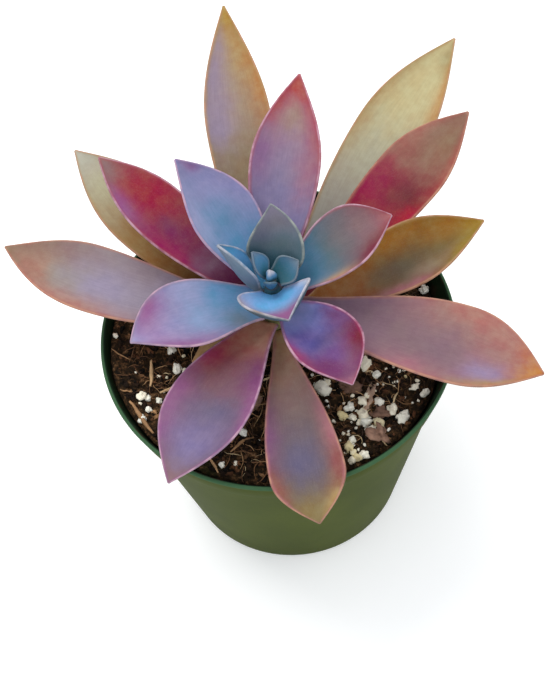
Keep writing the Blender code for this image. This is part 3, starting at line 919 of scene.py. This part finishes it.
def bud_finish():
    finish = Finish("bud_skin")
    height = finish.split(finish.place())[2]
    foot = STEM_TOP + STEM_TIP_ROUND
    share = finish.span(height, foot, foot + BUD_HEIGHT)
    colour = finish.ramp(share, [(0, pigment("deep_teal")), (0.4, pigment("sky")), (1, pigment("frost"))])
    colour = finish.shade(colour, finish.noise(900), 0.9, 1.1)
    finish.bump(finish.noise(1100), 0.00008, 0.6)
    return finish.coat(colour, 0.6)


def make_bud():
    """The closed heart of the rosette."""
    foot = STEM_TOP + STEM_TIP_ROUND + GAP
    share = np.linspace(0, BUD_TOP_RING, BUD_RINGS)[:, None]
    angle = np.linspace(0, 2 * pi, BUD_SIDES, endpoint=False)[None, :] + BUD_TWIST * share
    ribs = 1 + BUD_RIB_DEPTH * np.cos(BUD_RIBS * angle)
    radius = BUD_RADIUS * np.cos(pi / 2 * share**1.3) ** 1.4 * ribs
    height = foot + BUD_HEIGHT * BUD_FINENESS * share + 0 * angle
    rings = np.stack([radius * np.cos(angle), radius * np.sin(angle), height], -1)
    add_piece("fine_bud", ring_solid("fine_bud", rings), bud_finish(), "young_leaf", "bud")


def stem_finish():
    finish = Finish("stem_skin")
    height = finish.split(finish.place())[2]
    wave = finish.math("SINE", finish.math("MULTIPLY", height, 2 * pi / SCAR_SPACING))
    green = finish.span(height, SOIL_LEVEL, STEM_GREEN_FROM)
    colour = finish.mix(green, srgb(112, 84, 58), srgb(142, 146, 92))
    colour = finish.mix(finish.span(height, *STEM_TEAL), colour, pigment("deep_teal"))
    colour = finish.mix(finish.span(wave, 0.2, 0.9, 0, 0.45), colour, srgb(92, 66, 48))
    colour = finish.shade(colour, finish.noise(420, detail=5), 0.8, 1.15)
    finish.bump(finish.noise(650, detail=5), 0.0003, 0.6)
    return finish.coat(colour, 0.75)


def make_stem():
    """The short stem, ringed by the scars of the leaves that it has dropped."""
    foot = SOIL_LEVEL - HOLE_DEPTH + GAP
    side = np.linspace(foot + 1.25 * STEM_FOOT_ROUND, STEM_TOP, STEM_RINGS)
    heights = np.concatenate([[foot, foot + STEM_FOOT_ROUND], side])[:, None]
    angle = np.linspace(0, 2 * pi, STEM_SIDES, endpoint=False)[None, :]
    radius = np.array([stem_radius(height) for height in heights[:, 0]])[:, None]
    turn = 2 * pi * (heights - SCARS_FROM) / SCAR_SPACING + SCAR_WAVER * np.sin(2 * angle)
    between = 0.5 + 0.5 * np.cos(turn)
    above = smooth_step((heights - SCARS_FROM) / SCARS_EASE)
    radius = radius - SCAR_SWELL * above * between + STEM_RIPPLE * np.sin(3 * angle + 90 * heights)
    radius[0] -= STEM_FOOT_ROUND
    rings = np.stack([radius * np.cos(angle), radius * np.sin(angle), heights + 0 * angle], -1)
    tip = rings[-1] * np.array([0.5, 0.5, 1]) + np.array([0, 0, STEM_TIP_ROUND])
    mesh = ring_solid("fine_stem", np.concatenate([rings, tip[None]]))
    add_piece("fine_stem", mesh, stem_finish(), "stem_bark", "stem")


def wall_radius(height):
    """The pot's outer radius on the tapered wall below its band."""
    top = RIM_RADIUS - BAND_TAPER - BAND_STEP
    return BASE_RADIUS + (top - BASE_RADIUS) * height / BAND_FOOT


def inner_radius(height):
    """The pot's inner radius, which widens faster behind the band."""
    radii = (BASE_RADIUS - WALL, wall_radius(INNER_SHOULDER) - WALL, RIM_RADIUS - RIM_THICKNESS)
    return float(np.interp(height, (0, INNER_SHOULDER, POT_HEIGHT - RIM_THICKNESS / 2), radii))


def pot_finish():
    """Green moulded plastic with a fine satin grain, a painted bluer highlight along the rim, and an inside
    darkened as painted shade and soiled with dirt.
    """
    finish = Finish("pot_moulding")
    x, y, height = finish.split(finish.place())
    normal_x, normal_y, _ = finish.split(finish.add("TexCoord").outputs["Normal"])
    facing_x = finish.math("MULTIPLY", x, normal_x)
    facing = finish.math("ADD", facing_x, finish.math("MULTIPLY", y, normal_y))
    inside = finish.span(facing, -0.1 * RIM_RADIUS, -0.5 * RIM_RADIUS)
    cloudy = finish.noise(35, detail=4)
    colour = finish.mix(finish.span(cloudy, 0.3, 0.7), srgb(56, 66, 12), srgb(66, 76, 18))
    # A painted highlight: a bluer band along the top of the rim.
    line = finish.span(height, POT_HEIGHT - RIM_HIGHLIGHT_FROM, POT_HEIGHT - RIM_HIGHLIGHT_FULL, 0, 0.8)
    colour = finish.mix(line, colour, srgb(60, 96, 70))
    # Painted shade: the inside is darkened. The brown dirt mixed in next is real soiling.
    colour = finish.mix(finish.math("MULTIPLY", inside, 0.9), colour, srgb(20, 38, 26))
    dirt = finish.math("MULTIPLY", inside, finish.span(finish.noise(160, detail=6), 0.52, 0.66, 0, 0.7))
    colour = finish.mix(dirt, colour, srgb(52, 40, 28))
    colour = finish.shade(colour, finish.noise(900, detail=2), 0.95, 1.05)
    finish.feed("IOR", 1.16)
    finish.bump(finish.noise(1400, detail=2), 0.00005, 0.4)
    return finish.coat(colour, 0.65)


def make_pot():
    """The pot, turned with many sides, with its corners rounded and its drain holes cut."""
    bead = RIM_THICKNESS / 2
    profile = [
        (0, 0),
        (BASE_RADIUS - FOOT_ROUND, 0),
        (wall_radius(FOOT_ROUND), FOOT_ROUND),
        (wall_radius(BAND_FOOT), BAND_FOOT),
        (RIM_RADIUS - BAND_TAPER, BAND_FOOT + BAND_STEP),
    ]
    for step in range(RIM_ARC_STEPS + 1):
        angle = pi * step / RIM_ARC_STEPS
        radius = RIM_RADIUS - bead + bead * cos(angle)
        profile.append((radius, POT_HEIGHT - bead + bead * sin(angle)))
    profile += [
        (inner_radius(INNER_SHOULDER), INNER_SHOULDER),
        (inner_radius(FLOOR + FLOOR_CORNER), FLOOR + FLOOR_CORNER),
        (inner_radius(FLOOR) - FLOOR_CORNER, FLOOR),
        (0, FLOOR),
    ]
    mesh = turned_mesh("fine_pot", profile, POT_SIDES)
    pot = add_piece("fine_pot", mesh, pot_finish(), "pot_plastic", "pot")
    cut = pot.modifiers.new("drain_holes", "BOOLEAN")
    cut.operation = "DIFFERENCE"
    cutter = drain_cutter()
    cut.object = cutter
    rounding = pot.modifiers.new("rounding", "BEVEL")
    rounding.width = POT_ROUNDING
    rounding.segments = 3
    rounding.limit_method = "ANGLE"
    rounding.angle_limit = radians(25)
    apply_modifiers(pot)
    bpy.data.objects.remove(cutter)


def turned_mesh(name, profile, sides):
    """A profile of (radius, height) points turned about Z. It starts and ends on the axis."""
    shape = bmesh.new()
    rows = []
    for radius, height in profile:
        turns = [0] if radius == 0 else range(sides)
        places = [(*around(radius, 2 * pi * turn / sides), height) for turn in turns]
        rows.append([shape.verts.new(place) for place in places])
    for first, second in zip(rows, rows[1:]):
        for i in range(sides):
            j = (i + 1) % sides
            corners = [first[i % len(first)], first[j % len(first)]]
            corners += [second[j % len(second)], second[i % len(second)]]
            shape.faces.new(dict.fromkeys(corners))
    bmesh.ops.recalc_face_normals(shape, faces=shape.faces)
    return mesh_of(shape, name)


def drain_cutter():
    """An upright pin for each of the drain holes."""
    shape = bmesh.new()
    for turn in range(DRAIN_HOLES):
        pin = bmesh.ops.create_cone(
            shape,
            cap_ends=True,
            segments=DRAIN_SIDES,
            radius1=DRAIN_RADIUS,
            radius2=DRAIN_RADIUS,
            depth=6 * FLOOR,
        )
        place = (*around(DRAIN_CIRCLE, 2 * pi * (turn + 0.5) / DRAIN_HOLES), 0)
        bmesh.ops.translate(shape, verts=pin["verts"], vec=place)
    return add_object("drain_cutter", mesh_of(shape, "drain_cutter"))


def apply_modifiers(piece):
    bpy.context.view_layer.update()
    evaluated = piece.evaluated_get(bpy.context.evaluated_depsgraph_get())
    mesh = bpy.data.meshes.new_from_object(evaluated)
    piece.modifiers.clear()
    piece.data = mesh


def soil_height(radius, angle):
    """The soil's broad shape."""
    share = radius / RIM_RADIUS
    broad = BROAD_BUMP * sin(5 * angle + 9 * share) * sin(11 * share + 2 * angle)
    fine = FINE_BUMP * sin(9 * angle - 17 * share)
    rise = SOIL_RISE * (1 - SOIL_LEAN * cos(angle))
    smooth = SOIL_LEVEL + SOIL_MOUND * (1 - share) + rise * share**3
    return smooth + (broad + fine) * min(1, 3 * share)


def soil_surface(x, y):
    """The soil's height with its clods and crumbs."""
    place = Vector((x, y, 0))
    clods = noise.noise(place / CLOD_SIZE) * CLOD_HEIGHT
    crumbs = noise.turbulence(place / CLOD_SIZE * 3, 3, True) * CRUMB_HEIGHT
    return soil_height(hypot(x, y), atan2(y, x)) + clods * 0.6 + crumbs


def peat_finish():
    """Dark, fibrous peat with redder and paler flecks."""
    finish = Finish("peat")
    clumps = finish.noise(520, detail=6, roughness=0.7)
    dark = [(0.35, srgb(10, 7, 3)), (0.5, srgb(42, 29, 14))]
    colour = finish.ramp(clumps, dark + [(0.6, srgb(88, 62, 38)), (0.72, srgb(166, 128, 92))])
    flecks = finish.span(finish.noise(900), 0.62, 0.72, 0, 0.6)
    colour = finish.mix(flecks, colour, srgb(120, 88, 58))
    green = finish.span(finish.noise(90), 0.62, 0.72, 0, 0.35)
    colour = finish.mix(green, colour, srgb(58, 60, 26))
    finish.feed("Specular IOR Level", 0.2)
    finish.bump(clumps, 0.0008, 0.9)
    return finish.coat(colour, 0.95)


def soil_edge(angle):
    """The radius where the soil's side reaches its top."""
    height = soil_height(inner_radius(SOIL_LEVEL), angle) - SOIL_EDGE_ROUND
    return inner_radius(height) - 2 * GAP


def make_soil():
    """The fill of the pot, with a rough top."""
    hole_radius = STEM_RADIUS + GAP
    turns = np.linspace(0, 2 * pi, SOIL_SIDES, endpoint=False)

    def ring(radius, height):
        return [(*around(radius, turn), height) for turn in turns]

    def top_ring(share, inset=0):
        points = []
        for turn in turns:
            x, y = around(hole_radius + (soil_edge(turn) - inset - hole_radius) * share, turn)
            points.append((x, y, soil_surface(x, y) - SOIL_EDGE_ROUND + inset))
        return points

    rings = [ring(inner_radius(FLOOR) - FLOOR_CORNER - 2 * GAP, FLOOR + GAP)]
    for height in (FLOOR + FLOOR_CORNER + GAP, INNER_SHOULDER):
        rings.append(ring(inner_radius(height) - 2 * GAP, height))
    rings.append(top_ring(1))
    for step in range(SOIL_RINGS):
        rings.append(top_ring((1 - step / (SOIL_RINGS - 1)) ** SOIL_RING_SPREAD, SOIL_EDGE_ROUND))
    rings.append(ring(hole_radius, SOIL_LEVEL - HOLE_DEPTH))
    mesh = ring_solid("fine_soil", np.array(rings))
    add_piece("fine_soil", mesh, peat_finish(), "potting_mix", "soil")


class Litter:
    """Many small lumps or strands gathered into one mesh, each with its own tint."""

    def __init__(self):
        self.points = []
        self.faces = []
        self.tints = []

    def take(self, points, faces, tint):
        start = len(self.points)
        self.points += points
        self.faces += [[start + i for i in face] for face in faces]
        self.tints += [tint] * len(points)

    def lay(self, name, finish):
        """Makes the piece out of all that was taken up."""
        mesh = bpy.data.meshes.new(name)
        mesh.from_pydata(self.points, [], self.faces)
        mesh.attributes.new("tint", "FLOAT", "POINT").data.foreach_set("value", self.tints)
        add_piece(name, mesh, finish, "potting_mix")


def ball(subdivisions):
    """The points and faces of a unit ball."""
    shape = bmesh.new()
    bmesh.ops.create_icosphere(shape, subdivisions=subdivisions, radius=1)
    shape.verts.ensure_lookup_table()
    points = [vert.co.copy() for vert in shape.verts]
    faces = [[vert.index for vert in face.verts] for face in shape.faces]
    shape.free()
    return points, faces


def scatter(rng, count, nearest, furthest, apart, middle=0, spread=180):
    """Places on the soil, at least a distance apart, within a spread of a middle azimuth."""
    places = []
    tries = 0
    while len(places) < count and tries < TRIES_PER_PLACE * count:
        tries += 1
        angle = radians(middle + spread * rng.uniform(-1, 1))
        x, y = around(sqrt(rng.uniform(nearest**2, furthest**2)), angle)
        if all(hypot(x - other[0], y - other[1]) > apart for other in places):
            places.append((x, y))
    return places


def inside_wall(x, y, reach):
    """The place, moved inwards where what reaches this far round it would meet the pot's wall."""
    share = min(1, (soil_edge(atan2(y, x)) - reach) / hypot(x, y))
    return x * share, y * share


def add_lump(litter, form, rng, place, size, stretch, flatness, roughness, sunk):
    """A rough lump on the soil. Sunk is the share of its height below the surface."""
    points, faces = form
    seed = Vector(rng.uniform(-50, 50, 3))
    turn = Matrix.Rotation(rng.uniform(0, 2 * pi), 3, "Z")
    turn = turn @ Matrix.Rotation(rng.normal(0, LUMP_TILT), 3, "X")
    x, y = inside_wall(*place, size * stretch * (1 + roughness / 2))
    centre = Vector((x, y, soil_surface(x, y) + size * flatness * (1 - 2 * sunk)))
    made = []
    for point in points:
        rough = noise.noise(point * 1.3 + seed) + 0.4 * noise.noise(point * 4 + seed)
        local = Vector((point.x * stretch, point.y, point.z * flatness)) * size * (1 + roughness * rough)
        made.append(turn @ local + centre)
    litter.take(made, faces, rng.uniform(0, 1))


def litter_finish(name, stops):
    """A material whose colour goes with a lump's or a strand's tint, and the colour."""
    finish = Finish(name)
    return finish, finish.ramp(finish.attribute("tint"), stops)


def perlite_finish():
    stops = [(0, srgb(255, 246, 220)), (0.8, srgb(255, 254, 240)), (1, srgb(232, 214, 158))]
    finish, colour = litter_finish("perlite_grain", stops)
    stains = finish.span(finish.noise(500, detail=4), 0.55, 0.75, 0, 0.55)
    colour = finish.mix(stains, colour, srgb(122, 98, 70))
    finish.bump(finish.noise(1300), 0.0003, 0.7)
    return finish.coat(colour, 0.85)


def on_soil(x, y):
    """The place on the soil that a pixel of the photograph shows."""
    right, up, back = camera_axes()
    eye = camera_place()
    line = right * (x - IMAGE_WIDTH / 2) + up * (IMAGE_HEIGHT / 2 - y) - back * FOCAL_PIXELS
    height = SOIL_LEVEL
    for _ in range(ROUNDS_TO_SOIL):
        spot = eye + line * (height - eye.z) / line.z
        height = soil_surface(spot.x, spot.y)
    return spot.x, spot.y


# The grains of perlite that show clearly, as the pixel of the middle and the width in pixels
GRAINS = [
    (366, 365, 11), (323, 391, 14), (327, 385, 8), (415, 388, 8), (426, 395, 8),
    (394, 383, 4), (368, 397, 6), (363, 402, 9), (379, 403, 8), (392, 411, 10),
    (363, 416, 10), (366, 423, 10), (360, 423, 6), (379, 424, 10), (371, 431, 9),
    (403, 419, 12), (350, 408, 9), (342, 417, 8), (352, 418, 7), (352, 441, 7),
    (349, 448, 8), (353, 453, 6), (352, 461, 7), (358, 458, 7), (366, 459, 9),
    (341, 470, 5), (435, 287, 9), (377, 375, 7), (114, 336, 5), (142, 397, 8),
    (148, 399, 6), (159, 401, 6), (149, 410, 6), (138, 422, 8), (159, 377, 4),
    (167, 378, 3), (177, 370, 9), (185, 372, 6), (172, 351, 8), (178, 390, 6),
    (243, 433, 8), (222, 465, 6), (236, 464, 5), (259, 442, 4),
]
PIXEL_ON_SOIL = 0.0003  # how wide a pixel is on the soil

# The pixels of two clear chips of bark
LARGE_CHIP = (384, 437)
SMALLER_CHIP = (380, 414)


def make_perlite():
    """White expanded grains, thickest in front on the right: the clear ones, and smaller ones between."""
    rng = np.random.default_rng(23)
    litter = Litter()
    form = ball(3)
    for x, y, width in GRAINS:
        size = width / 2 * PIXEL_ON_SOIL
        stretch = rng.uniform(1, 1.35)
        add_lump(litter, form, rng, on_soil(x, y), size, stretch, flatness=0.85, roughness=0.6, sunk=0.22)
    form = ball(2)
    places = scatter(rng, 90, nearest=0.012, furthest=0.048, apart=0.0016, middle=302, spread=42)
    places += scatter(rng, 60, nearest=0.012, furthest=0.048, apart=0.003)
    for place in places:
        size = rng.uniform(0.0003, 0.0006)
        stretch = rng.uniform(1, 1.5)
        add_lump(litter, form, rng, place, size, stretch, flatness=0.8, roughness=0.5, sunk=0.35)
    litter.lay("perlite_grains", perlite_finish())


def crumb_finish():
    dark = [(0, srgb(12, 8, 5)), (0.6, srgb(42, 28, 18))]
    stops = dark + [(0.88, srgb(96, 62, 40)), (1, srgb(164, 126, 88))]
    finish, colour = litter_finish("peat_crumb", stops)
    colour = finish.shade(colour, finish.noise(700, detail=4), 0.6, 1.4)
    finish.feed("Specular IOR Level", 0.2)
    finish.bump(finish.noise(1500), 0.0003, 0.8)
    return finish.coat(colour, 0.95)


def make_crumbs():
    """Loose crumbs of peat all over the soil."""
    rng = np.random.default_rng(41)
    litter = Litter()
    form = ball(2)
    for place in scatter(rng, 1800, nearest=0.008, furthest=0.0495, apart=0.0004):
        size = rng.uniform(0.0002, 0.0008)
        stretch = rng.uniform(1, 2.6)
        flatness = rng.uniform(0.4, 0.9)
        add_lump(litter, form, rng, place, size, stretch, flatness, roughness=1.3, sunk=0.3)
    litter.lay("peat_crumbs", crumb_finish())


def bark_finish():
    stops = [(0, srgb(84, 56, 42)), (0.5, srgb(156, 120, 100)), (1, srgb(196, 164, 140))]
    finish, colour = litter_finish("bark_chip", stops)
    colour = finish.shade(colour, finish.noise(500, detail=6, roughness=0.7), 0.6, 1.35)
    finish.bump(finish.noise(600, detail=5), 0.0005, 0.8)
    return finish.coat(colour, 0.85)


def make_bark():
    """Flat chips of bark. The largest lies in front on the right."""
    rng = np.random.default_rng(8)
    litter = Litter()
    form = ball(3)
    add_lump(litter, form, rng, on_soil(*LARGE_CHIP), 0.0026, 1.1, 0.45, BARK_ROUGHNESS, sunk=0.14)
    add_lump(litter, form, rng, on_soil(*SMALLER_CHIP), 0.0018, 1.3, 0.35, BARK_ROUGHNESS, sunk=0.2)
    for place in scatter(rng, 16, nearest=0.014, furthest=0.046, apart=0.006):
        size = rng.uniform(0.0010, 0.0024)
        stretch = rng.uniform(1.1, 2.2)
        flatness = rng.uniform(0.25, 0.4)
        add_lump(litter, form, rng, place, size, stretch, flatness, BARK_ROUGHNESS, sunk=0.25)
    litter.lay("bark_chips", bark_finish())


def fibre_finish():
    dark = [(0, srgb(52, 32, 20)), (0.6, srgb(132, 92, 58))]
    stops = dark + [(0.9, srgb(196, 154, 108)), (1, srgb(226, 200, 154))]
    finish, colour = litter_finish("coir_fibre", stops)
    colour = finish.shade(colour, finish.noise(300), 0.75, 1.2)
    return finish.coat(colour, 0.8)


def add_strand(litter, rng, start, heading, length, radius, curl, lift, tone):
    """A thin bent strand that lies on the soil, with both ends narrowed."""
    points, faces = [], []
    x, y = start
    for step in range(STRAND_STEPS + 1):
        share = step / STRAND_STEPS
        x, y = inside_wall(x, y, 2 * radius)
        taper = sin(pi * min(max(share, STRAND_BLUNT), 1 - STRAND_BLUNT))
        thick = radius * (STRAND_TIP + (1 - STRAND_TIP) * taper)
        centre = Vector((x, y, soil_surface(x, y) + radius + lift * sin(pi * share)))
        side = Vector((-sin(heading), cos(heading), 0))
        for i in range(STRAND_SIDES):
            beside, above = around(thick, 2 * pi * i / STRAND_SIDES)
            points.append(centre + beside * side + Vector((0, 0, above)))
        heading += curl / STRAND_STEPS + rng.normal(0, STRAND_WANDER)
        ahead_x, ahead_y = around(length / STRAND_STEPS, heading)
        x += ahead_x
        y += ahead_y
    for low in range(0, STRAND_STEPS * STRAND_SIDES, STRAND_SIDES):
        for i in range(STRAND_SIDES):
            j = (i + 1) % STRAND_SIDES
            faces.append((low + i, low + j, low + STRAND_SIDES + j, low + STRAND_SIDES + i))
    faces.append(tuple(range(STRAND_SIDES))[::-1])
    faces.append(tuple(range(STRAND_STEPS * STRAND_SIDES, len(points))))
    litter.take(points, faces, tone)


# The twigs and straws that show clearly, as the pixels of both ends and the thickness in metres
TWIGS = [
    (152, 361, 147, 387, 0.0013),
    (126, 404, 154, 435, 0.0015),
    (106, 349, 124, 362, 0.0004),
    (186, 380, 160, 394, 0.0013),
    (254, 438, 226, 447, 0.0010),
    (375, 428, 376, 452, 0.0006),
    (398, 393, 389, 407, 0.0007),
    (208, 458, 217, 474, 0.0008),
    (112, 392, 124, 398, 0.0006),
    (262, 382, 272, 378, 0.0008),
]


def make_fibres():
    """Twigs and straws, and the coir fibres and small roots that lie over the soil."""
    rng = np.random.default_rng(77)
    litter = Litter()
    for start_x, start_y, end_x, end_y, thickness in TWIGS:
        x, y = on_soil(start_x, start_y)
        end_x, end_y = on_soil(end_x, end_y)
        heading = atan2(end_y - y, end_x - x)
        length = hypot(end_x - x, end_y - y)
        tone = rng.uniform(0.7, 1)
        add_strand(litter, rng, (x, y), heading, length, thickness / 2, curl=0.1, lift=0.0003, tone=tone)
    for place in scatter(rng, 1100, nearest=0.008, furthest=0.045, apart=0.0004):
        length = rng.uniform(0.002, 0.008)
        heading = rng.uniform(0, 2 * pi)
        radius = rng.uniform(0.00005, 0.00016)
        curl = rng.normal(0, 1)
        tone = rng.uniform(0, 1)
        add_strand(litter, rng, place, heading, length, radius, curl, lift=0.0006, tone=tone)
    litter.lay("coir_fibres", fibre_finish())


def main():
    set_camera()
    set_studio()
    make_leaves()
    make_bud()
    make_stem()
    make_pot()
    make_soil()
    make_perlite()
    make_crumbs()
    make_bark()
    make_fibres()


main()
